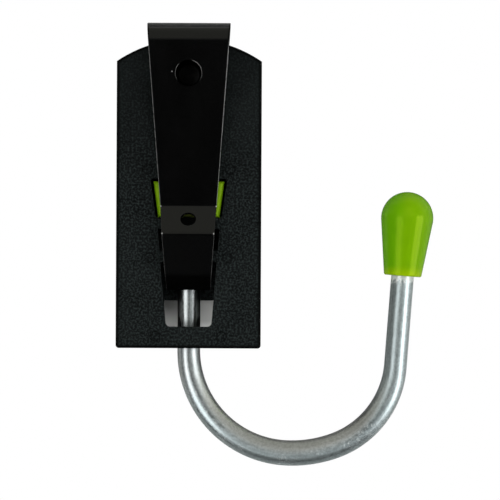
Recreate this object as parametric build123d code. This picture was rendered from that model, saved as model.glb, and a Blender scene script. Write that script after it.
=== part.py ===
from build123d import *
import math
import os

# A belt hook for a drill: a moulded plate, a sprung belt clip and a J-shaped hook that swivels.
# Sizes are in millimetres. X runs across the plate, Y from the belt side to the front, Z up.
# Heights are measured from the plate's lower edge, and the plate's belt side lies at Y = 0.
# The finished pieces are lowered so that the origin is level with the middle of a worn belt.
belt_line_height = 95.0

# Back plate
plate_width = 60.0
plate_side_height = 118.7
plate_arch_rise = 9.3
plate_thickness = 7.0
plate_corner_radius = 1.3
plate_edge_radius = 0.9

# Tapered slot in the plate, crossed by one bridge
slot_bottom_height = 8.75
slot_length = 40.65
slot_bottom_width = 19.0
slot_top_width = 25.6
slot_corner_radius = 2.0
bridge_height = 35.7
bridge_thickness = 4.6

# Keystone pocket above the slot
pocket_floor_thickness = 4.6
pocket_height = 16.2
pocket_bottom_width = 27.4
pocket_top_width = 31.8
pocket_corner_radius = 1.2

# Hump on the front of the plate, which carries the hook's stem
hump_lip_height = 18.5
hump_side_wall = 2.8
hump_front_wall = 2.5
hump_draft_angle = 5.0
hump_edge_radius = 3.0
hump_root_radius = 1.2
hump_stem_room = 0.5

# Round marks of the mould's ejector pins on the belt side, in mirrored pairs
pin_mark_diameter = 4.0
pin_mark_depth = 0.15
upper_mark_spacing = 34.0
upper_mark_height = 74.0
middle_mark_spacing = 32.2
middle_mark_height = 37.4
lower_mark_spacing = 27.4
lower_mark_height = 4.9

# Hook rod, a round bar with three bends that run into each other, pressed a little flat at the bottom
rod_diameter = 9.5
hook_bottom_width = 10.6
rod_end_chamfer = 0.6
stem_to_plate_gap = 0.3
stem_bearing_clearance = 0.08
bend_drop = 1.3
first_bend_radius = 42.8
first_bend_angle = 87.3
second_bend_radius = 52.3
second_bend_angle = 22.9
third_bend_radius = 38.6
third_bend_angle = 65.5
arm_length = 61.9

# Neck near the top of the stem, where the keeper holds it
neck_diameter = 6.0
neck_end_play = 0.2
stem_head_height = 3.6

# Keystone keeper
keeper_side_gap = 1.0
keeper_height = 15.1
keeper_recess = 0.8
keeper_front_gap = 0.4
keeper_edge_radius = 1.6
keeper_tongue_height = 4.2
keeper_tongue_thickness = 4.8
keeper_neck_clearance = 0.08
keeper_stem_clearance = 0.35

# Rubber cap on the hook's free end
cap_length = 35.2
cap_dome_radius = 10.9
cap_base_diameter = 15.6
cap_lip_radius = 0.8
cap_grip_length = 24.0
cap_bore_clearance = 0.05

# Belt clip, one folded strip
sheet_thickness = 1.2
clip_rise = 5.8
clip_bend_radius = 6.3
clip_leg_length = 45.8
clip_leg_recess = 0.6
clip_leg_gap = 0.3
clip_top_width = 34.2
pinch_height = 58.5
pinch_gap = 2.5
ridge_height = 47.2
ridge_reach = 10.4
toe_height = 29.9
toe_reach = 2.4
tip_height = 24.5
tip_dip = 2.3
clip_tip_width = 18.3
fold_radius = 1.9
clip_edge_radius = 0.3
access_hole_diameter = 10.8
access_hole_drop = 20.9
small_hole_diameter = 6.4

# Rivet through the clip's leg and the plate
rivet_shank_diameter = 4.0
rivet_head_diameter = 8.4
rivet_head_height = 1.5
rivet_clearance = 0.05

# Sizes that follow from the ones above
rod_radius = rod_diameter / 2
stem_y = plate_thickness + stem_to_plate_gap + rod_radius
slot_top_height = slot_bottom_height + slot_length
pocket_bottom_height = slot_top_height + pocket_floor_thickness
pocket_top_height = pocket_bottom_height + pocket_height
hump_inner_y = stem_y + rod_radius + hump_stem_room
hump_front_y = hump_inner_y + hump_front_wall
keeper_top_height = pocket_bottom_height + keeper_height
tongue_bottom_height = pocket_bottom_height + keeper_tongue_height
tongue_top_height = tongue_bottom_height + keeper_tongue_thickness
stem_top_height = tongue_top_height + neck_end_play + stem_head_height
clip_top_height = plate_side_height + plate_arch_rise + clip_rise
clip_leg_bottom_height = clip_top_height - clip_leg_length
access_hole_height = clip_top_height - access_hole_drop
clip_leg_y = clip_leg_recess - sheet_thickness / 2

# Views that outlines are drawn in: across and up, seen from the front, and outward and up, from the side
front_view = Plane(origin=(0, 0, 0), x_dir=(-1, 0, 0), z_dir=(0, 1, 0))
side_view = Plane.YZ
hook_view = Plane(origin=(0, stem_y, 0), x_dir=(1, 0, 0), z_dir=(0, -1, 0))


def slab(face, start_y, end_y, draft=0.0):
    """A front-view outline given depth from one Y to another."""
    return extrude(front_view.offset(start_y) * face, amount=end_y - start_y, taper=draft)


def tapered(bottom, top, bottom_width, top_width):
    """A symmetrical outline with straight sides that run from one width to another."""
    corners = [
        (-bottom_width / 2, bottom),
        (bottom_width / 2, bottom),
        (top_width / 2, top),
        (-top_width / 2, top),
    ]
    return Polygon(corners, align=None)


def between(value, start, end, start_result, end_result):
    """The value on a straight line through two known points."""
    return start_result + (end_result - start_result) * (value - start) / (end - start)


def slot_width(height):
    return between(height, slot_bottom_height, slot_top_height, slot_bottom_width, slot_top_width)


def pocket_width(height):
    return between(height, pocket_bottom_height, pocket_top_height, pocket_bottom_width, pocket_top_width)


def stem_cylinder(radius, bottom, top):
    """A round solid on the stem's axis between two heights."""
    base = Plane(origin=(0, stem_y, bottom))
    return extrude(base * Circle(radius), amount=top - bottom)


def tangent_angle(center, radius, point):
    """Direction, in degrees from the first axis, in which a line from the point touches the circle.

    Of the two such lines, this is the one that touches before the point's own direction.
    """
    across = point[0] - center[0]
    up = point[1] - center[1]
    direction = math.degrees(math.atan2(up, across)) % 360
    return direction - math.degrees(math.acos(radius / math.hypot(across, up)))


def plate_blank():
    """The flat plate with its arched top edge and rounded rims."""
    half = plate_width / 2
    sides = Polyline(
        (half, plate_side_height),
        (half, 0),
        (-half, 0),
        (-half, plate_side_height),
    )
    arch = ThreePointArc(
        (-half, plate_side_height),
        (0, plate_side_height + plate_arch_rise),
        (half, plate_side_height),
    )
    outline = make_face([*sides.edges(), arch])
    lower_corners = outline.vertices().group_by(Axis.Y)[0]
    outline = fillet(lower_corners, radius=plate_corner_radius)
    plate = slab(outline, 0, plate_thickness)
    rims = plate.faces().sort_by(Axis.Y)
    return fillet(rims[0].edges() + rims[-1].edges(), radius=plate_edge_radius)


def hump_blank():
    """The raised hump, one wall thickness wider than the slot and the pocket inside it."""
    wall = 2 * hump_side_wall
    heights_and_widths = [
        (hump_lip_height, slot_width(hump_lip_height)),
        (slot_top_height, slot_top_width),
        (pocket_top_height + hump_side_wall, pocket_top_width),
    ]
    right = [((width + wall) / 2, height) for height, width in heights_and_widths]
    left = [(-across, height) for across, height in reversed(right)]
    outline = Polygon(right + left, align=None)
    hump = slab(outline, plate_thickness, hump_front_y, hump_draft_angle)
    root_face = hump.faces().sort_by(Axis.Y)[0]
    return fillet(hump.edges() - root_face.edges(), radius=hump_edge_radius)


def slot_cut():
    """The slot, open to the hump's inside, left standing at the bridge."""
    bridge_top_height = bridge_height + bridge_thickness
    lower = tapered(slot_bottom_height, bridge_height, slot_bottom_width, slot_width(bridge_height))
    lower = fillet(lower.vertices().group_by(Axis.Y)[0], radius=slot_corner_radius)
    upper = tapered(bridge_top_height, slot_top_height, slot_width(bridge_top_height), slot_top_width)
    return slab(lower, 0, hump_inner_y) + slab(upper, 0, hump_inner_y)


def pocket_cut():
    """The keystone pocket that takes the keeper."""
    outline = tapered(pocket_bottom_height, pocket_top_height, pocket_bottom_width, pocket_top_width)
    outline = fillet(outline.vertices(), radius=pocket_corner_radius)
    return slab(outline, 0, hump_inner_y)


def leg_seat_cut():
    """The shallow seat, open at the top edge, that keeps the clip's leg from turning."""
    outline = offset(clip_outline(clip_leg_bottom_height), amount=clip_leg_gap)
    return slab(outline, 0, clip_leg_recess)


def pin_marks_cut():
    """The shallow round marks in mirrored pairs."""
    pairs = [
        (upper_mark_spacing, upper_mark_height),
        (middle_mark_spacing, middle_mark_height),
        (lower_mark_spacing, lower_mark_height),
    ]
    centres = [(side * spacing / 2, height) for spacing, height in pairs for side in (-1, 1)]
    marks = Locations(*centres) * Circle(pin_mark_diameter / 2)
    return slab(Sketch() + marks, 0, pin_mark_depth)


def rivet_hole():
    """The hole through plate and leg that the rivet's shank fills."""
    circle = Pos(0, access_hole_height) * Circle(rivet_shank_diameter / 2 + rivet_clearance)
    return slab(circle, clip_leg_recess - sheet_thickness, plate_thickness)


def make_back_plate():
    plate = plate_blank() + hump_blank()
    front_face = plate.faces().filter_by(Plane.XZ).sort_by_distance((0, plate_thickness, 0))[0]
    plate = fillet(front_face.inner_wires().edges(), radius=hump_root_radius)
    plate -= slot_cut()
    plate -= pocket_cut()
    plate -= leg_seat_cut()
    plate -= pin_marks_cut()
    plate -= rivet_hole()
    bearing_radius = rod_radius + stem_bearing_clearance
    return plate - stem_cylinder(bearing_radius, slot_bottom_height, pocket_top_height)


def clip_path():
    """The strip's middle line in the side view, from the leg over the top bend and down to the tip."""
    middle_radius = clip_bend_radius + sheet_thickness / 2
    bend_y = clip_leg_y - middle_radius
    bend_height = clip_top_height - clip_bend_radius - sheet_thickness
    pinch = (-pinch_gap - sheet_thickness / 2, pinch_height)
    top_bend_angle = tangent_angle((bend_y, bend_height), middle_radius, pinch)
    leg = Line((clip_leg_y, clip_leg_bottom_height), (clip_leg_y, bend_height))
    bend = JernArc(leg @ 1, leg % 1, middle_radius, top_bend_angle)
    folds = FilletPolyline(
        bend @ 1,
        pinch,
        (-ridge_reach, ridge_height),
        (-toe_reach, toe_height),
        (tip_dip, tip_height),
        radius=fold_radius,
    )
    return side_view * (leg + bend + folds)


def clip_outline(bottom):
    """The strip's front outline from a given height to the top. Its sides narrow towards the tip."""
    bottom_width = between(bottom, tip_height, clip_top_height, clip_tip_width, clip_top_width)
    return tapered(bottom, clip_top_height, bottom_width, clip_top_width)


def punched_hole(center, along, diameter):
    """A round hole square to the sheet at a point of its middle line."""
    across = Vector(1, 0, 0).cross(along)
    hole_plane = Plane(origin=center, x_dir=(1, 0, 0), z_dir=across)
    return extrude(hole_plane * Circle(diameter / 2), amount=sheet_thickness, both=True)


def make_belt_clip():
    path = clip_path()
    section = Plane(origin=path @ 0, x_dir=(1, 0, 0), z_dir=path % 0)
    strip = sweep(section * Rectangle(clip_top_width, sheet_thickness), path=path)
    box = strip.bounding_box()
    strip &= slab(clip_outline(box.min.Z), box.min.Y, box.max.Y)
    sides = strip.faces().sort_by(Axis.X)
    end_edges = [strip.faces().sort_by_distance(path @ end)[0].edges() for end in (0, 1)]
    long_edges = sides[0].edges() + sides[-1].edges() - end_edges[0] - end_edges[1]
    strip = fillet(long_edges, radius=clip_edge_radius)
    upper_flat, lifted_flat = path.edges().filter_by(GeomType.LINE)[1:3]
    access_place = between(access_hole_height, (upper_flat @ 0).Z, (upper_flat @ 1).Z, 0, 1)
    strip -= punched_hole(upper_flat @ access_place, upper_flat % 0, access_hole_diameter)
    strip -= punched_hole(lifted_flat @ 0.5, lifted_flat % 0, small_hole_diameter)
    return strip - rivet_hole()


def make_clip_rivet():
    leg_face_y = clip_leg_recess - sheet_thickness
    shank_radius = rivet_shank_diameter / 2
    head_radius = rivet_head_diameter / 2
    back_head = TangentArc(
        (leg_face_y - rivet_head_height, 0),
        (leg_face_y, head_radius),
        tangent=(0, 1),
    )
    front_head = TangentArc(
        (plate_thickness + rivet_head_height, 0),
        (plate_thickness, head_radius),
        tangent=(0, 1),
    )
    shank = Polyline(
        back_head @ 1,
        (leg_face_y, shank_radius),
        (plate_thickness, shank_radius),
        front_head @ 1,
    )
    middle = Line(back_head @ 0, front_head @ 0)
    half = make_face([back_head, *shank.edges(), front_head, middle])
    rivet = revolve(Plane.YZ * half, axis=Axis.Y)
    return Pos(0, 0, access_hole_height) * rivet


def hook_path():
    """The rod's middle line: stem, three bends and the straight arm."""
    stem = Line((0, stem_top_height), (0, -bend_drop))
    first = JernArc(stem @ 1, stem % 1, first_bend_radius, first_bend_angle)
    second = JernArc(first @ 1, first % 1, second_bend_radius, second_bend_angle)
    third = JernArc(second @ 1, second % 1, third_bend_radius, third_bend_angle)
    arm = Line(third @ 1, third @ 1 + third % 1 * arm_length)
    return hook_view * (stem + first + second + third + arm)


def straight_bar(line):
    """The round bar along a straight stretch of its middle line."""
    return sweep(Plane(origin=line @ 0, z_dir=line % 0) * Circle(rod_radius), path=line)


def bend_section(bend, place, width):
    """The bar's oval at a place on a bend: its width across the hook, with the round bar's area kept."""
    direction = bend % place
    across = Vector(0, 1, 0).cross(direction)
    oval = Ellipse(width / 2, rod_radius * rod_diameter / width)
    return Plane(origin=bend @ place, x_dir=across, z_dir=direction) * oval


def make_hook_rod():
    stem, first, second, third, arm = hook_path().edges()
    sections = [
        bend_section(first, 0, rod_diameter),
        bend_section(first, 1, hook_bottom_width),
        bend_section(second, 1, hook_bottom_width),
        bend_section(third, 1, rod_diameter),
    ]
    bends = sweep(sections, path=Wire([first, second, third]), multisection=True)
    rod = straight_bar(stem) + bends + straight_bar(arm)
    ends = rod.faces().filter_by(GeomType.PLANE)
    rod = chamfer(ends.edges(), length=rod_end_chamfer)
    neck_bottom = tongue_bottom_height - neck_end_play
    neck_top = tongue_top_height + neck_end_play
    turned_away = stem_cylinder(rod_diameter, neck_bottom, neck_top)
    turned_away -= stem_cylinder(neck_diameter / 2, neck_bottom, neck_top)
    return rod - turned_away


def stem_passage(radius, bottom, top, front_y):
    """A round passage for the stem that is open towards the front."""
    mouth = Pos(0, (stem_y + front_y) / 2) * Rectangle(2 * radius, front_y - stem_y)
    section = Pos(0, stem_y) * Circle(radius) + mouth
    return extrude(Plane(origin=(0, 0, bottom)) * section, amount=top - bottom)


def make_rod_keeper():
    gaps = 2 * keeper_side_gap
    keeper_bottom_width = pocket_bottom_width - gaps
    keeper_top_width = pocket_width(keeper_top_height) - gaps
    front_y = hump_inner_y - keeper_front_gap
    outline = tapered(pocket_bottom_height, keeper_top_height, keeper_bottom_width, keeper_top_width)
    keeper = slab(outline, keeper_recess, front_y)
    back_face = keeper.faces().sort_by(Axis.Y)[0]
    keeper = fillet(back_face.edges(), radius=keeper_edge_radius)
    stem_room = rod_radius + keeper_stem_clearance
    neck_room = neck_diameter / 2 + keeper_neck_clearance
    keeper -= stem_passage(stem_room, pocket_bottom_height, tongue_bottom_height, front_y)
    keeper -= stem_passage(neck_room, tongue_bottom_height, tongue_top_height, front_y)
    return keeper - stem_passage(stem_room, tongue_top_height, keeper_top_height, front_y)


def make_hook_cap():
    path = hook_path()
    direction = path % 1
    dome_center = cap_length - cap_dome_radius
    base_radius = cap_base_diameter / 2
    touch = 90 - tangent_angle((dome_center, 0), cap_dome_radius, (0, base_radius))
    cone_end = Vector(
        cap_dome_radius * math.cos(math.radians(touch)),
        dome_center + cap_dome_radius * math.sin(math.radians(touch)),
    )
    cone = Line((base_radius, 0), cone_end)
    dome = TangentArc(cone @ 1, (0, cap_length), tangent=cone % 1)
    rest = Polyline((0, cap_length), (0, 0), (base_radius, 0))
    half = make_face([cone, dome, *rest.edges()])
    cap = revolve(Plane.XZ * half, axis=Axis.Z)
    lip = cap.faces().sort_by(Axis.Z)[0]
    cap = fillet(lip.edges(), radius=cap_lip_radius)
    cap -= extrude(Circle(rod_radius + cap_bore_clearance), amount=cap_grip_length)
    base = Plane(origin=path @ 1 - direction * cap_grip_length, z_dir=direction)
    return base * cap


pieces = {
    "back_plate": make_back_plate(),
    "belt_clip": make_belt_clip(),
    "clip_rivet": make_clip_rivet(),
    "hook_rod": make_hook_rod(),
    "rod_keeper": make_rod_keeper(),
    "hook_cap": make_hook_cap(),
}

os.makedirs("parts", exist_ok=True)
for name, piece in pieces.items():
    export_step(Pos(0, 0, -belt_line_height) * piece, f"parts/{name}.step")
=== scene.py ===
# %% [markdown]
# # A belt hook for a drill, on a white ground
# The hook has six pieces: a moulded plate, a folded steel belt clip, its rivet, a green keeper, a
# bent aluminium bar and a rubber cap. All six come from the CAD model with their true shapes, so
# this lesson leaves the shapes alone and gives each piece the surface that it has on the real
# object. The frame is loaded first.

import math

import bpy
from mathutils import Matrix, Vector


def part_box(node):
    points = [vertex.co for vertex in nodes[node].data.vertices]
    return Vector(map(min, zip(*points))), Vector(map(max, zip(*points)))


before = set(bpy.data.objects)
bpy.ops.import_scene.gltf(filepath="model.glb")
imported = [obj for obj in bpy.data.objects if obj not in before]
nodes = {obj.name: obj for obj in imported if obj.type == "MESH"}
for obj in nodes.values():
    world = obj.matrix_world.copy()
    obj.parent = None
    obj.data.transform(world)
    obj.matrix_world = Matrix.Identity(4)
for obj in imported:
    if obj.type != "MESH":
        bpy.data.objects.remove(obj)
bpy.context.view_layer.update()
for name in sorted(nodes):
    print(name, "has", len(nodes[name].data.polygons), "faces")

# %% [markdown]
# ## Shader maths as Python
# Wear, grain and speckle are sums and products of a few patterns. Nodes could be wired one by one,
# but an expression such as `1 - wear * grain` is easier to read. So one small class wraps a node's
# output, and its operators add Math nodes. Every other kind of node comes from its `add` method.

# %% A socket that can be calculated with
class Socket:
    """One output of a shader node or, without an output, just the tree that nodes are added to."""

    def __init__(self, tree, output=None):
        self.tree = tree
        self.output = output

    def add(self, kind, settings=None, sockets=None, output=0):
        """A new node of a kind: its settings are set first, then its sockets' values or links."""
        node = self.tree.nodes.new("ShaderNode" + kind)
        for key, setting in (settings or {}).items():
            setattr(node, key, setting)
        for key, value in (sockets or {}).items():
            if isinstance(value, Socket):
                self.tree.links.new(value.output, node.inputs[key])
            else:
                node.inputs[key].default_value = value
        return Socket(self.tree, node.outputs[output] if len(node.outputs) else None)

    def out(self, key):
        """Another output of the same node."""
        return Socket(self.tree, self.output.node.outputs[key])

    def math(self, operation, *values):
        """A Math node, for values that are sockets or numbers."""
        return self.add("Math", {"operation": operation}, dict(enumerate(values)))

    def __add__(self, other):
        return self.math("ADD", self, other)

    def __radd__(self, other):
        return self.math("ADD", other, self)

    def __sub__(self, other):
        return self.math("SUBTRACT", self, other)

    def __rsub__(self, other):
        return self.math("SUBTRACT", other, self)

    def __mul__(self, other):
        return self.math("MULTIPLY", self, other)

    def __rmul__(self, other):
        return self.math("MULTIPLY", other, self)

    def __truediv__(self, other):
        return self.math("DIVIDE", self, other)

    def __rtruediv__(self, other):
        return self.math("DIVIDE", other, self)

    def __pow__(self, other):
        return self.math("POWER", self, other)

    def __abs__(self):
        return self.math("ABSOLUTE", self)


print("sockets ready")

# %% [markdown]
# ## Places on the surface
# Patterns need a place to start from. Each CAD node's own coordinates are the object's frame in
# metres, so they stay with the piece when the hook turns. They are taken in millimetres here,
# because the sizes of speckles, scratches and edges are easiest to think of that way.

# %% Helpers for places
def new_finish(name):
    """An empty material and the start of its nodes."""
    material = bpy.data.materials.new(name)
    material.use_nodes = True
    material.node_tree.nodes.clear()
    return material, Socket(material.node_tree)


def place_mm(start):
    """Where the shaded point is on the resting object, in millimetres."""
    place = start.add("TexCoord", output="Object")
    return place.add("VectorMath", {"operation": "SCALE"}, {0: place, "Scale": 1000.0})


def split(vector):
    """The three numbers of a vector."""
    x = vector.add("SeparateXYZ", sockets={0: vector})
    return x, x.out("Y"), x.out("Z")


print("places are in millimetres")

# %% [markdown]
# A finish is patterns turned into masks by ramps, colours that the masks mix, and one main shader.
# These helpers are used by all six pieces. Patterns are noise, which has no seams and needs no
# picture.

# %% Helpers for finishes
def ramp(value, low, high):
    """0 below one value, 1 above another, and a smooth slope between them. It may also fall."""
    sockets = {"Value": value, "From Min": low, "From Max": high}
    return value.add("MapRange", {"interpolation_type": "SMOOTHSTEP"}, sockets)


def noise(place, size, detail=2.0, stretch=(1, 1, 1)):
    """A cloudy pattern from 0 to 1 whose blotches are about a size in millimetres."""
    scale = tuple(s / size for s in stretch)
    scaled = place.add("VectorMath", {"operation": "MULTIPLY"}, {0: place, 1: scale})
    return place.add("TexNoise", sockets={"Vector": scaled, "Scale": 1.0, "Detail": detail})


def mix(factor, first, second):
    """A colour between two colours."""
    settings = {"data_type": "RGBA"}
    return factor.add("Mix", settings, {0: factor, 6: first, 7: second}, output=2)


def bump(height, depth_mm, strength=1.0):
    """Surface normals for a height pattern of a given depth."""
    sockets = {"Height": height, "Distance": depth_mm / 1000, "Strength": strength}
    return height.add("Bump", sockets=sockets)


def dress(node, material, start, sockets):
    """Finish a material with its main shader, and give it to a CAD node."""
    shader = start.add("BsdfPrincipled", sockets=sockets)
    start.add("OutputMaterial", sockets={"Surface": shader})
    nodes[node].data.materials.clear()
    nodes[node].data.materials.append(material)
    print(node, "wears", material.name, "with", len(material.node_tree.nodes), "nodes")


print("ready to dress", len(nodes), "pieces")

# %% [markdown]
# ## Moulded plastic of the plate
# The plate is black plastic from a mould whose steel was spark-eroded, which leaves a fine pebbled
# skin. An image could be wrapped around it, but noise in the piece's own coordinates has no seams.
# Two sizes of noise make the pebbles and the slow greyish clouds, and the same pebbles drive
# colour, gloss and bump. The lower half is a little greyer and its pebbles are crisper.

# %% Pebbles of the plate
material, start = new_finish("plate_spark_textured_black")
place = place_mm(start)
x, y, z = split(place)
pebble_size, cloud_size = 0.85, 16.0
pebbles = noise(place, pebble_size, detail=4.0)
clouds = ramp(noise(place, cloud_size), 0.35, 0.65)
# The skin is greyer and its pebbles are crisper towards the bottom.
greyer_below = ramp(z, 30.0, -70.0)
crispness = 0.45 + ramp(z, 25.0, -45.0) * 0.85
middle_tone = 0.38
tops = middle_tone + (ramp(pebbles, 0.42, 0.66) - middle_tone) * crispness
print("pebbles of", pebble_size, "mm and clouds of", cloud_size, "mm")

# %% [markdown]
# The rounded rim has no pebbles and is painted black: a painted shade, where the rim turns away
# from the lamps. It could be painted as a map, but it is easily found from the plate's sides, its
# lower edge and the circle of its arch. The part that the clip covers is painted black too, as the
# clip's painted shadow, and so are the steps around the six round marks of mould pins, which lie
# in pairs, as painted shade in the steps.

# %% Painted shade on the plate
def span(dx, dz):
    """How long a line is that goes so far across and so far up."""
    return (dx * dx + dz * dz) ** 0.5


side_rim, lower_rim, rim_fade = 29.3, -94.3, 1.0
arch_center, arch_rim = -20.04, 52.3
arch = span(x, z.math("MAXIMUM", z - arch_center, 0.0))
# Painted shade: the plate fades to black towards its rounded rim.
inside = ramp(abs(x), side_rim, side_rim - rim_fade)
inside = inside * ramp(z, lower_rim, lower_rim + rim_fade)
inside = inside * ramp(arch, arch_rim, arch_rim - rim_fade)
belt_side = ramp(y, 2.0, 1.0)
# Painted shadow: the plate is painted black where the clip covers it.
shade_under_clip = ramp(abs(x), 10.0, 9.0) * ramp(z, -48.0, -47.0)
painted_shade_on_plate = shade_under_clip
pin_radius = 2.0
# Painted shade: a dark ring in the step around each pin mark.
for pin_x, pin_z in ((13.7, -90.1), (16.1, -57.6), (17.0, -21.0)):
    from_step = abs(span(abs(x) - pin_x, z - pin_z) - pin_radius)
    painted_shade_on_plate = painted_shade_on_plate + ramp(from_step, 0.5, 0.15) * 0.7
    print("pin marks", pin_x, "mm to both sides at", pin_z)
painted_shade_on_plate = painted_shade_on_plate * belt_side

# %% Plate
mould_black = (0.0002, 0.0005, 0.0005, 1.0)
light_pebble_grey = (0.0142, 0.0187, 0.0187, 1.0)
shade = (tops * 0.75 + clouds * 0.1 + greyer_below * 0.19) * inside * (1 - painted_shade_on_plate)
dress(
    "back_plate",
    material,
    start,
    {
        "Base Color": mix(shade, mould_black, light_pebble_grey),
        "Roughness": 0.6 - tops * 0.15,
        "Specular IOR Level": 0.06,
        "Normal": bump(pebbles * crispness, 0.3, 0.8),
    },
)

# %% [markdown]
# ## Painted spring steel of the clip
# The clip is a strip of spring steel with a thin, half-glossy black paint. Paint is thinnest on
# the sheared edges, so bare steel glints there in a fine line and at the corners of the folds.
# Bare steel on two arcs of the large hole's rim is a painted highlight. The strip narrows evenly
# towards its tip, so its edge can be found by calculation: half the strip's width at a height,
# less the distance from the middle. That needs no drawn map.

# %% Where the clip's edges are
strip_half_width, strip_taper = 14.355, 0.07274
material, start = new_finish("clip_black_paint")
place = place_mm(start)
x, y, z = split(place)
from_edge = strip_half_width + z * strip_taper - abs(x)
wear_width = 0.26
edge_line = ramp(from_edge, wear_width, 0.1)
upper_edge = ramp(z, -36.0, -33.0) * ramp(z, 29.5, 27.5)
lower_edge = ramp(z, -48.0, -50.0) * 0.2
flecks = noise(place, 1.4)
edge_wear = edge_line * (upper_edge + lower_edge) * ramp(flecks, 0.25, 0.5)
print("edge wear reaches in by", wear_width, "mm")

# %% [markdown]
# The hole's rim is bare steel only to the left and to the upper right: a painted highlight,
# where the lamps glint on the rim.
# Small chips sit beside the hole and at the four fold corners. They could be cut into the shape,
# but paint is far thinner than the strip, so each is only a soft round spot at a place.

# %% Painted rim highlight and chips
hole_height, hole_lean, hole_rim = 17.9, 1.011, 5.52
rise = (z - hole_height) * hole_lean
from_hole = span(x, rise)
rim = ramp(from_hole, hole_rim, hole_rim - 0.12) * ramp(y, -6.0, -7.0)
# Painted highlight: bare steel only on the rim's left and upper right arcs.
right_rim_glint = ramp((x * 0.94 + rise * 0.34) / from_hole, 0.5, 0.9)
left_rim_glint = ramp((rise * 0.1 - x) / from_hole, 0.75, 0.95)
rim_highlight = rim * (right_rim_glint * 0.8 + left_rim_glint * 0.6)


def distance(place, point):
    """How far a place is from a point."""
    sockets = {0: place, 1: point}
    return place.add("VectorMath", {"operation": "DISTANCE"}, sockets, output="Value")


def at_most_one(value):
    """Masks that were added up, cut off at 1."""
    return value.math("MINIMUM", value, 1.0)


def chip(center, radius):
    """A small round spot."""
    return ramp(distance(place, center), radius, radius * 0.4)


chips = chip((-6.75, -12.3, 18.5), 0.38)
for half_width, depth, height in ((11.5, -3.8, -36.4), (10.6, -10.6, -47.6)):
    for corner_x in (-half_width, half_width):
        chips = chips + chip((corner_x, depth, height), 0.45)
# Worn edges and chips, with the painted rim highlight.
wear_and_rim_highlight = at_most_one(edge_wear + rim_highlight + chips)
print("wear has", len(material.node_tree.nodes), "nodes so far")

# %% [markdown]
# The leg on the plate, the tip and the ends of the top bend are a nearly black metal that mirrors
# almost nothing: a painted shade, for the leg deep behind the hole, the tip that faces down and
# the bend's ends that turn away. That needs no second material: the colour stays as dark as the
# paint, and only the metallic part of the shader changes. Slow smears make the paint's gloss
# uneven.

# %% Clip
def grey(level):
    """A colour without a tint."""
    return (level, level, level, 1.0)


skin = noise(place, 2.2, detail=1.0)
# Painted shade: leg, tip and bend ends turn into black metal that mirrors almost nothing.
leg = ramp(y, -4.0, -3.0) * ramp(z, 0.0, 2.0)
tip = ramp(z, -63.5, -65.5)
bend_ends = ramp(from_edge, 0.9, 0.3) * ramp(z, 30.0, 32.0)
painted_shade_on_clip = at_most_one(leg + tip * 0.6 + bend_ends)
smears = ramp(noise(place, 14.0, detail=3.0, stretch=(1, 1, 0.35)), 0.4, 0.7)
paint_black, bare_steel = grey(0.0007), grey(0.5)
dress(
    "belt_clip",
    material,
    start,
    {
        "Base Color": mix(wear_and_rim_highlight, paint_black, bare_steel),
        "Metallic": wear_and_rim_highlight.math("MAXIMUM", wear_and_rim_highlight, painted_shade_on_clip),
        "Roughness": 0.13 + smears * 0.04 + wear_and_rim_highlight * 0.2,
        "Normal": bump(skin, 0.01, 0.5),
    },
)

# %% [markdown]
# ## Blackened rivet
# The rivet is steel with a dull black coat, which swallows nearly all light deep inside the clip's
# hole. It could be a dark metal, but that would still mirror the lamps, so it is made as a matt
# black skin.

# %% Rivet
material, start = new_finish("rivet_blackened_steel")
place = place_mm(start)
mottle = noise(place, 1.1, detail=3.0)
dress(
    "clip_rivet",
    material,
    start,
    {
        "Base Color": mix(ramp(mottle, 0.35, 0.7), grey(0.0008), grey(0.002)),
        "Roughness": 0.5 + mottle * 0.15,
        "Specular IOR Level": 0.06,
        "Normal": bump(mottle, 0.02, 0.5),
    },
)

# %% [markdown]
# ## Green plastic of the keeper
# The keeper is a small block of yellow-green plastic from a smoother mould than the plate. It is
# only seen beside the clip and through its small hole. A trace of uneven colour and a soft gloss
# are enough. Its middle, where the stem's neck turns deep under the clip, is painted dark olive:
# a painted shade.

# %% Keeper
material, start = new_finish("keeper_green_plastic")
place = place_mm(start)
x, _, _ = split(place)
flow = noise(place, 5.0)
# Painted shade: the keeper's middle, deep under the clip, is painted dark olive.
painted_shade_middle = ramp(abs(x), 7.0, 4.5)
keeper_base_green = mix(flow, (0.13, 0.27, 0.002, 1.0), (0.17, 0.33, 0.003, 1.0))
shaded_olive = (0.06, 0.075, 0.015, 1.0)
dress(
    "rod_keeper",
    material,
    start,
    {
        "Base Color": mix(painted_shade_middle, keeper_base_green, shaded_olive),
        "Roughness": 0.36 + flow * 0.1,
        "Specular Tint": (0.9, 1.0, 0.2, 1.0),
        "Normal": bump(noise(place, 0.6), 0.01, 0.4),
    },
)

# %% [markdown]
# ## Drawn aluminium of the hook
# The bar was drawn through a die, so its satin skin has fine lines along its length, all round the
# bends. Stretched noise would need to know the bar's direction at each place. So the bar's own
# line is rebuilt as numbers: stem, three arcs and arm. At each place the nodes find how far the
# point is from that line across the hook. With the depth from the line this gives a place in the
# bar's section, and noise that changes over the section but hardly along the bar makes drawn
# lines.

# %% The bar's line, from its stem to its arm
stem_depth = 12.05
stem_end = -96.3
bends = ((42.8, 87.3), (52.3, 22.9), (38.6, 65.5))
center_x, center_z, turned = bends[0][0], stem_end, 0.0
arcs = []
for number, (radius, angle) in enumerate(bends):
    if number:
        shift = bends[number - 1][0] - radius
        center_x -= shift * math.cos(math.radians(turned))
        center_z -= shift * math.sin(math.radians(turned))
    turned += angle
    arcs.append((center_x, center_z, radius, turned))
    print("bend", number + 1, "about", round(center_x, 2), round(center_z, 2))

# %% [markdown]
# A point belongs to the first bend when its direction from that bend's centre is below the bend's
# end angle, and so on. Angles are counted from the stem's side, downwards and around. Past the
# last bend the point belongs to the straight arm.

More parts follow.
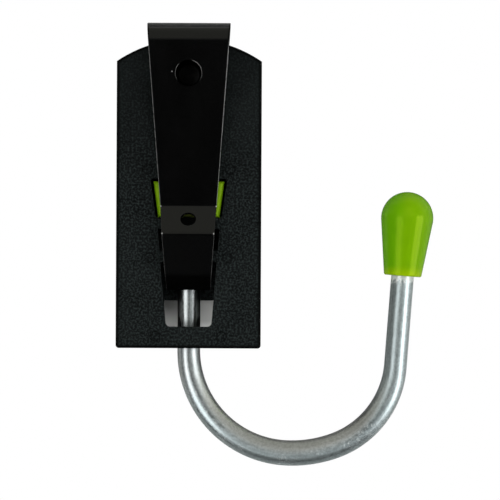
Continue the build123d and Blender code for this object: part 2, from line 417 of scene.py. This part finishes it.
# %% Place in the bar's section
def choose(test, first, second):
    """The first value where the test is 0, and the second where it is 1."""
    return first + test * (second - first)


def from_arc(x, z, arc):
    """Distance across from one bend's middle line, and the angle reached around its centre."""
    arc_x, arc_z, radius, _ = arc
    dx = x - arc_x
    dz = z - arc_z
    return radius - span(dx, dz), math.pi + dx.math("ARCTAN2", dz, dx)


def from_arm(x, z):
    """Distance across from the arm's middle line."""
    arc_x, arc_z, radius, angle = arcs[-1]
    turn = math.radians(angle)
    return radius - ((arc_x - x) * math.cos(turn) + (arc_z - z) * math.sin(turn))


material, start = new_finish("rod_drawn_aluminium")
place = place_mm(start)
x, y, z = split(place)
across = from_arm(x, z)
for arc in reversed(arcs):
    off, reached = from_arc(x, z, arc)
    past = reached.math("GREATER_THAN", reached, math.radians(arc[3]))
    across = choose(past, off, across)
on_stem = z.math("GREATER_THAN", z, stem_end) * x.math("LESS_THAN", x, arcs[0][0])
across = choose(on_stem, across, x)
print("section place uses", len(material.node_tree.nodes), "nodes")

# %% [markdown]
# Three patterns make the bar's tone: fine drawn lines, broader bands and a short grain. A brushed
# picture would have to be bent along the bar, but noise in the section needs no bending. Low in
# the bend the metal is warm on the hook's inner side and cool on its outer side. The arm is a
# little weathered, with a thin cool skin.

# %% Drawn lines and tone
along = (x + z) * 0.012
section = start.add("CombineXYZ", sockets={0: across, 1: y - stem_depth, 2: along})
lines = noise(section, 0.7, detail=3.0)
bands = noise(section, 2.6, detail=1.0)
grain = noise(place, 0.9, detail=3.0)
tone = ramp(lines, 0.3, 0.7) * 0.3 + ramp(bands, 0.3, 0.7) * 0.3 + ramp(grain, 0.35, 0.65) * 0.4
warm = mix(tone, (0.505, 0.515, 0.51, 1.0), (0.775, 0.785, 0.78, 1.0))
cool = mix(tone, (0.45, 0.515, 0.52, 1.0), (0.70, 0.785, 0.795, 1.0))
weathered = ramp(x, 72.0, 82.0)
plain_coolness = 0.4
low_coolness = (ramp(across, 2.5, -1.5) - plain_coolness) * ramp(z, -104.0, -122.0)
bright = mix(plain_coolness + low_coolness + weathered * 0.6, warm, cool)
bend_length = sum(math.radians(angle) * radius for radius, angle in bends)
print("drawn lines run along", round(bend_length), "mm of bends")

# %% [markdown]
# A hung drill rubs the inner side of the hook's free half dull. The bottom is scuffed and
# speckled from being put down, and a thin band low on it is painted darker: a painted reflection
# of the dark room below. Just below the cap the bar is scratched pale, where the cap was pushed
# on. In the plate's slot the stem is painted darker along both sides and at its lower end: painted
# shade from the slot's walls. A map of all this could be painted by hand, but products of ramps
# along and across the bar are easier to place.

# %% Worn places and painted shade of the bar
scuffs = ramp(noise(place, 1.6, detail=4.0), 0.6, 0.72) * ramp(noise(place, 22.0), 0.45, 0.6)
dull = ramp(across, 0.4, 2.0) * ramp(across, 4.4, 2.6) * ramp(x, 58.0, 76.0)
put_down = ramp(z, -112.0, -128.0) * ramp(x, 8.0, 22.0) * ramp(x, 78.0, 64.0)
# Painted reflection: a thin darker band low on the bottom, for the dark room it mirrors.
painted_dark_band = ramp(across, -1.9, -2.5) * ramp(across, -3.9, -3.2) * put_down
specks = ramp(noise(place, 0.6, detail=1.0), 0.58, 0.68) * ramp(noise(place, 9.0), 0.42, 0.6)
specks = specks * ramp(across, 1.5, 0.0) * ramp(z, -100.0, -112.0)
cap_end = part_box("hook_cap")[0].z * 1000
ragged = (noise(place, 1.1, detail=3.0) - 0.5) * 9.0
scratched = ramp(z + ragged, cap_end - 2.6, cap_end - 0.6) * ramp(x, 50.0, 60.0)
# Painted shade: the stem is darker along its sides and at its lower end inside the slot.
painted_shade_in_slot = ramp(abs(across), 2.8, 3.8) * 0.6 + ramp(x, -2.4, -3.4) * 0.3 + ramp(x, 0.8, 2.4) * 0.25
painted_shade_in_slot = painted_shade_in_slot + ramp(z, -81.5, -85.5) * 0.45
painted_shade_in_slot = painted_shade_in_slot * on_stem * ramp(z, -92.0, -90.0)
print("the cap ends at", round(cap_end, 2), "mm")

# %% Bar
pale = at_most_one(scratched * 0.7 + specks * 0.5)
# The dull inner side, with the painted shade in the slot and the painted dark band.
worn_and_shaded = mix(dull * 0.33 + painted_shade_in_slot + painted_dark_band * 0.3, bright, grey(0.0))
dress(
    "hook_rod",
    material,
    start,
    {
        "Base Color": mix(pale, worn_and_shaded, grey(0.9)),
        "Metallic": 1.0 - pale * 0.7 - weathered * 0.08,
        "Roughness": 0.28 + ramp(grain, 0.4, 0.65) * 0.12 + scuffs * 0.1 + put_down * 0.15,
        "Normal": bump(lines + scuffs * 0.4 + grain * 1.5, 0.02, 0.8),
    },
)

# %% [markdown]
# ## Green rubber of the cap
# The cap is soft yellow-green rubber, a little yellower towards its open end, with a low sheen.
# Its green is more vivid than a screen can show, so a white gloss would wash it out: the gloss is
# tinted instead. The outer side is handled most and is rubbed smooth. The rest is dull, and the
# inner side is painted a darker green: a painted shade, where less lamp light falls. Both sides
# are found as places across the arm, as the bar's were.

# %% Cap
material, start = new_finish("cap_green_rubber")
place = place_mm(start)
x, _, z = split(place)
up = ramp(z, cap_end + 0.5, cap_end + 5.5)
uneven = noise(place, 7.0)
skin = noise(place, 0.8)
arm_side = from_arm(x, z)
# Painted shade: the cap's side towards the hook's inside is painted a darker green.
painted_shade_inner = ramp(arm_side, 0.0, 6.0)
polished = ramp(arm_side, 0.0, -3.6)
open_end_green = (0.23, 0.38, 0.0002, 1.0)
inner_shade_green = (0.03, 0.27, 0.0001, 1.0)
body_green = mix(uneven, (0.114, 0.290, 0.0001, 1.0), (0.150, 0.338, 0.0001, 1.0))
body_green = mix(painted_shade_inner * 0.35, body_green, inner_shade_green)
dress(
    "hook_cap",
    material,
    start,
    {
        "Base Color": mix(up, open_end_green, body_green),
        "Roughness": 0.22 + uneven * 0.05 - polished * 0.11,
        "Specular IOR Level": 0.65,
        "Specular Tint": (0.9, 1.0, 0.08, 1.0),
        "Normal": bump(uneven * 0.25 + skin * 0.03, 0.3, 0.5),
    },
)

# %% [markdown]
# ## Camera
# The object was photographed squarely from its belt side, from about a metre. The camera stands
# there with a long lens, aimed at the middle of the picture, and is turned by a quarter of a
# degree about its own axis, as the picture is. A nearer camera with a shorter lens could fill the
# picture too, but would draw the clip larger against the plate.

# %% Camera
camera_distance = 0.950
picture_pixels, pixel_size = 500, 0.41325e-3
picture_middle_x, picture_middle_z = 0.02542, -0.05423
picture_turn = -0.28
camera_data = bpy.data.cameras.new("camera")
camera_data.sensor_width = 36.0
camera_data.lens = camera_data.sensor_width * camera_distance / (pixel_size * picture_pixels)
camera = bpy.data.objects.new("camera", camera_data)
camera.location = (picture_middle_x, -camera_distance, picture_middle_z)
camera.rotation_euler = (math.radians(90), math.radians(picture_turn), 0)
bpy.context.scene.collection.objects.link(camera)
bpy.context.scene.camera = camera
print("lens", round(camera_data.lens, 1), "mm")

# %% [markdown]
# ## Studio
# Two tall softboxes stand left and right of the camera and give the bar its two bright lobes. A
# large fill above the camera lights dull surfaces, and is left out of reflections. Three more
# lamps light the plate's other side, so that the object can be looked at all round. Shining planes
# could do this too, but area lights give less grain.

# %% Softboxes
object_middle = (0.03, 0.0, -0.05)


def softbox(name, bearing, rise, away, width, height, watts):
    """An area light aimed at the middle of the object."""
    data = bpy.data.lights.new(name, "AREA")
    data.shape = "RECTANGLE"
    data.size = width
    data.size_y = height
    data.energy = watts
    lamp = bpy.data.objects.new(name, data)
    a, e = math.radians(bearing), math.radians(rise)
    back = (math.sin(a) * math.cos(e), -math.cos(a) * math.cos(e), math.sin(e))
    lamp.location = [c + away * b for c, b in zip(object_middle, back)]
    lamp.rotation_euler = (math.radians(90 - rise), 0, math.radians(bearing))
    lamp.visible_camera = False
    bpy.context.scene.collection.objects.link(lamp)
    print(name, "at", [round(v, 2) for v in lamp.location])
    return lamp


softbox("softbox_right", 57.0, rise=-12.0, away=1.3, width=0.8, height=1.0, watts=5.6)
softbox("softbox_left", -36.0, rise=-17.0, away=1.3, width=0.7, height=1.2, watts=4.6)
for name, bearing in (("softbox_front_right", 140.0), ("softbox_front_left", -140.0)):
    softbox(name, bearing, rise=15.0, away=1.3, width=0.7, height=1.0, watts=4.5)
for name, bearing in (("fill", 8.0), ("fill_front", 172.0)):
    fill = softbox(name, bearing, rise=25.0, away=1.6, width=1.4, height=1.4, watts=16.0)
    fill.visible_glossy = False

# %% [markdown]
# The world is the room. A picture of a studio could be wrapped around the scene, but a few ramps
# over the direction do it without a file. The ceiling is softly bright, and below and behind the
# camera it is dark, which is why the flat black paint stays black and only its upward folds turn
# grey. Behind the object it is light grey, but dark to a mirror, so that lamps stand out on the
# front of the bar. The camera, and metal that faces the background squarely, see plain white
# instead.

# %% Room
world = bpy.data.worlds.new("studio_room")
world.use_nodes = True
world.node_tree.nodes.clear()
bpy.context.scene.world = world
start = Socket(world.node_tree)
x, y, z = split(start.add("TexCoord", output="Generated"))
rays = start.add("LightPath", output="Is Camera Ray")
mirrored = rays.out("Is Glossy Ray")
ceiling = ramp(z, 0.02, 0.35) * ramp(y, 0.6, 0.15) * (1 + ramp(y, -0.5, 0.0) * 0.4)
sides = ramp(abs(x), 0.5, 0.95) * (0.1 + ramp(x, 0.0, 0.5) * 0.25)
low = ramp(z, -0.95, -0.8) * ramp(z, -0.3, -0.6)
walls = ramp(abs(x), 0.1, 0.22) * ramp(y, -0.5, -0.7) * ramp(z, -0.7, -0.5) * ramp(z, 0.5, 0.2)
behind = ramp(y, 0.0, 0.5) * ramp(z, 0.95, 0.5) * (0.6 - mirrored * 0.5)
level = 0.015 + ceiling * 0.33 + sides + low * 0.03 + walls * 0.3 + behind
tint = mix(ceiling, (0.94, 1.0, 1.02, 1.0), (0.99, 1.0, 0.88, 1.0))
seen = rays + rays.out("Is Transmission Ray") + mirrored * ramp(y, 0.86, 0.94)
room = start.add("Background", sockets={"Color": mix(level, grey(0.0), tint), "Strength": 1.0})
white = start.add("Background", sockets={"Color": grey(1.0), "Strength": 1.0})
sky = start.add("MixShader", sockets={0: seen, 1: room, 2: white})
start.add("OutputWorld", sockets={"Surface": sky})
print("room has", len(world.node_tree.nodes), "nodes")

# %% [markdown]
# A white backdrop stands behind the object, farther back than the hook reaches when it is turned.
# The world alone could give that white, but a backdrop also ends the floor. It is plain white to a
# camera on the belt side, and clear to all other light, so it hides nothing from the other side
# and throws no shadow.

# %% Helpers for the stage
reach = 3.0
corners = ((-reach, -reach), (reach, -reach), (reach, reach), (-reach, reach))


def flat(name, points):
    """A large plane from its four corners. It is stage, not a piece of the object."""
    mesh = bpy.data.meshes.new(name)
    mesh.from_pydata(points, [], [(0, 1, 2, 3)])
    piece = bpy.data.objects.new(name, mesh)
    bpy.context.scene.collection.objects.link(piece)
    return piece


def blend(factor, first, second):
    """The first shader where the factor is 0, and the second where it is 1."""
    return factor.add("MixShader", sockets={0: factor, 1: first, 2: second})


def cover(piece, material, surface):
    """Give a material with this surface to a piece of the stage."""
    surface.add("OutputMaterial", sockets={"Surface": surface})
    piece.data.materials.append(material)
    print(piece.name, "has", len(material.node_tree.nodes), "nodes")


print("stage planes reach", reach, "m to each side")

# %% Backdrop
backdrop_depth = 0.13
backdrop = flat("backdrop", [(across, backdrop_depth, up) for across, up in corners])
material, start = new_finish("backdrop_white")
rays = start.add("LightPath", output="Is Camera Ray")
from_behind = start.add("NewGeometry", output="Backfacing")
shown = (rays + rays.out("Is Transmission Ray")) * (1 - from_behind)
clear = start.add("BsdfTransparent")
white = start.add("Emission", sockets={"Color": grey(1.0), "Strength": 1.0})
cover(backdrop, material, blend(shown, clear, white))

# %% [markdown]
# The object lay close to a white board, like a table under it. The bar mirrors that board, with
# the shade of the plate and the hook on it, partly real and partly painted. A camera sees only a
# small card of it behind the slot, which is grey in the two gaps beside the stem. The rest of the
# board is clear to a camera, so that the hook can turn. The front of bar and cap lies closer to
# the board than 10 mm, and mirrors the room through it.

# %% Where the board is shown
board_depth = 0.0245
board = flat("board", [(across, board_depth, up) for across, up in corners])
material, start = new_finish("board_white")
x, _, z = split(place_mm(start))
rays = start.add("LightPath", output="Is Camera Ray")
seen = rays + rays.out("Is Transmission Ray")
mirrored = rays.out("Is Glossy Ray")
from_behind = start.add("NewGeometry", output="Backfacing")
behind_slot = ramp(abs(x), 12.4, 11.6) * ramp(z, -89.0, -88.0) * ramp(z, -74.0, -75.5)
from_belt_side = ramp(rays.out("Ray Length"), 0.0105, 0.012)
shown = (seen * behind_slot + mirrored * from_belt_side) * (1 - from_behind)
near = ramp(abs(x - 35.0), 600.0, 400.0) * ramp(abs(z + 50.0), 600.0, 400.0)
shaded = seen + mirrored * near
print("board at", board_depth, "m")

# %% [markdown]
# The card's left gap is painted darker than its right one, and both turn paler downwards. In the
# mirror, the board is painted darkest under the plate, and dark inside the bend and behind the
# cap. These are painted shadows of the plate and the hook.

# %% Painted shadows on the board
# Painted shade in the two gaps beside the stem, as seen through the slot.
left_gap = 0.14 + ramp(z, -77.0, -87.0) * 0.3
right_gap = 0.57 + ramp(z, -84.0, -87.0) * 0.25
gap_level = choose(ramp(x, -11.0, 11.0), left_gap, right_gap)
# Painted shadows in the mirrored board: under the plate, in the bend and behind the cap.
under_plate = ramp(abs(x), 34.0, 28.0) * ramp(z, -97.0, -94.0) * ramp(z, 36.0, 30.0)
bend_x, bend_z = 48.0, -100.0
in_bend = ramp(span(x - bend_x, z - bend_z), 46.0, 24.0)
cap_x, cap_z = 82.0, -36.0
behind_cap = ramp(span(x - cap_x, z - cap_z), 48.0, 26.0)
mirror_level = choose(under_plate, 0.3 - in_bend * 0.2 - behind_cap * 0.24, 0.03)
card_level = choose(mirrored, gap_level, mirror_level)
dark = start.add("BsdfDiffuse", sockets={"Color": grey(0.0)})
light = start.add("BsdfDiffuse", sockets={"Color": grey(1.0)})
card = blend(card_level, dark, light)
white = start.add("Emission", sockets={"Color": grey(1.0), "Strength": 1.0})
clear = start.add("BsdfTransparent")
cover(board, material, blend(shown, clear, blend(shaded, white, card)))

# %% [markdown]
# The floor lies below the hook, out of the picture, and holds the hook's shadow for other views.
# It fades to white with distance, and is left out of reflections, because the paint shows a dark
# room below.

# %% Floor
floor_height = -0.176
floor = flat("floor", [(across, along, floor_height) for across, along in corners])
floor.visible_glossy = False
floor.visible_shadow = False
material, start = new_finish("floor_pale")
below_hook = (30.0, 0.0, floor_height * 1000)
rays = start.add("LightPath", output="Is Camera Ray")
far = ramp(distance(place_mm(start), below_hook), 40.0, 200.0)
far = far * (rays + rays.out("Is Transmission Ray"))
from_behind = start.add("NewGeometry", output="Backfacing")
pale = start.add("BsdfDiffuse", sockets={"Color": grey(0.8)})
white = start.add("Emission", sockets={"Color": grey(1.0), "Strength": 1.0})
clear = start.add("BsdfTransparent")
cover(floor, material, blend(from_behind, blend(far, pale, white), clear))

# %% [markdown]
# ## Last settings
# Colours are shown as they are written, with the Standard view.

# %% Finish
bpy.context.scene.view_settings.view_transform = "Standard"
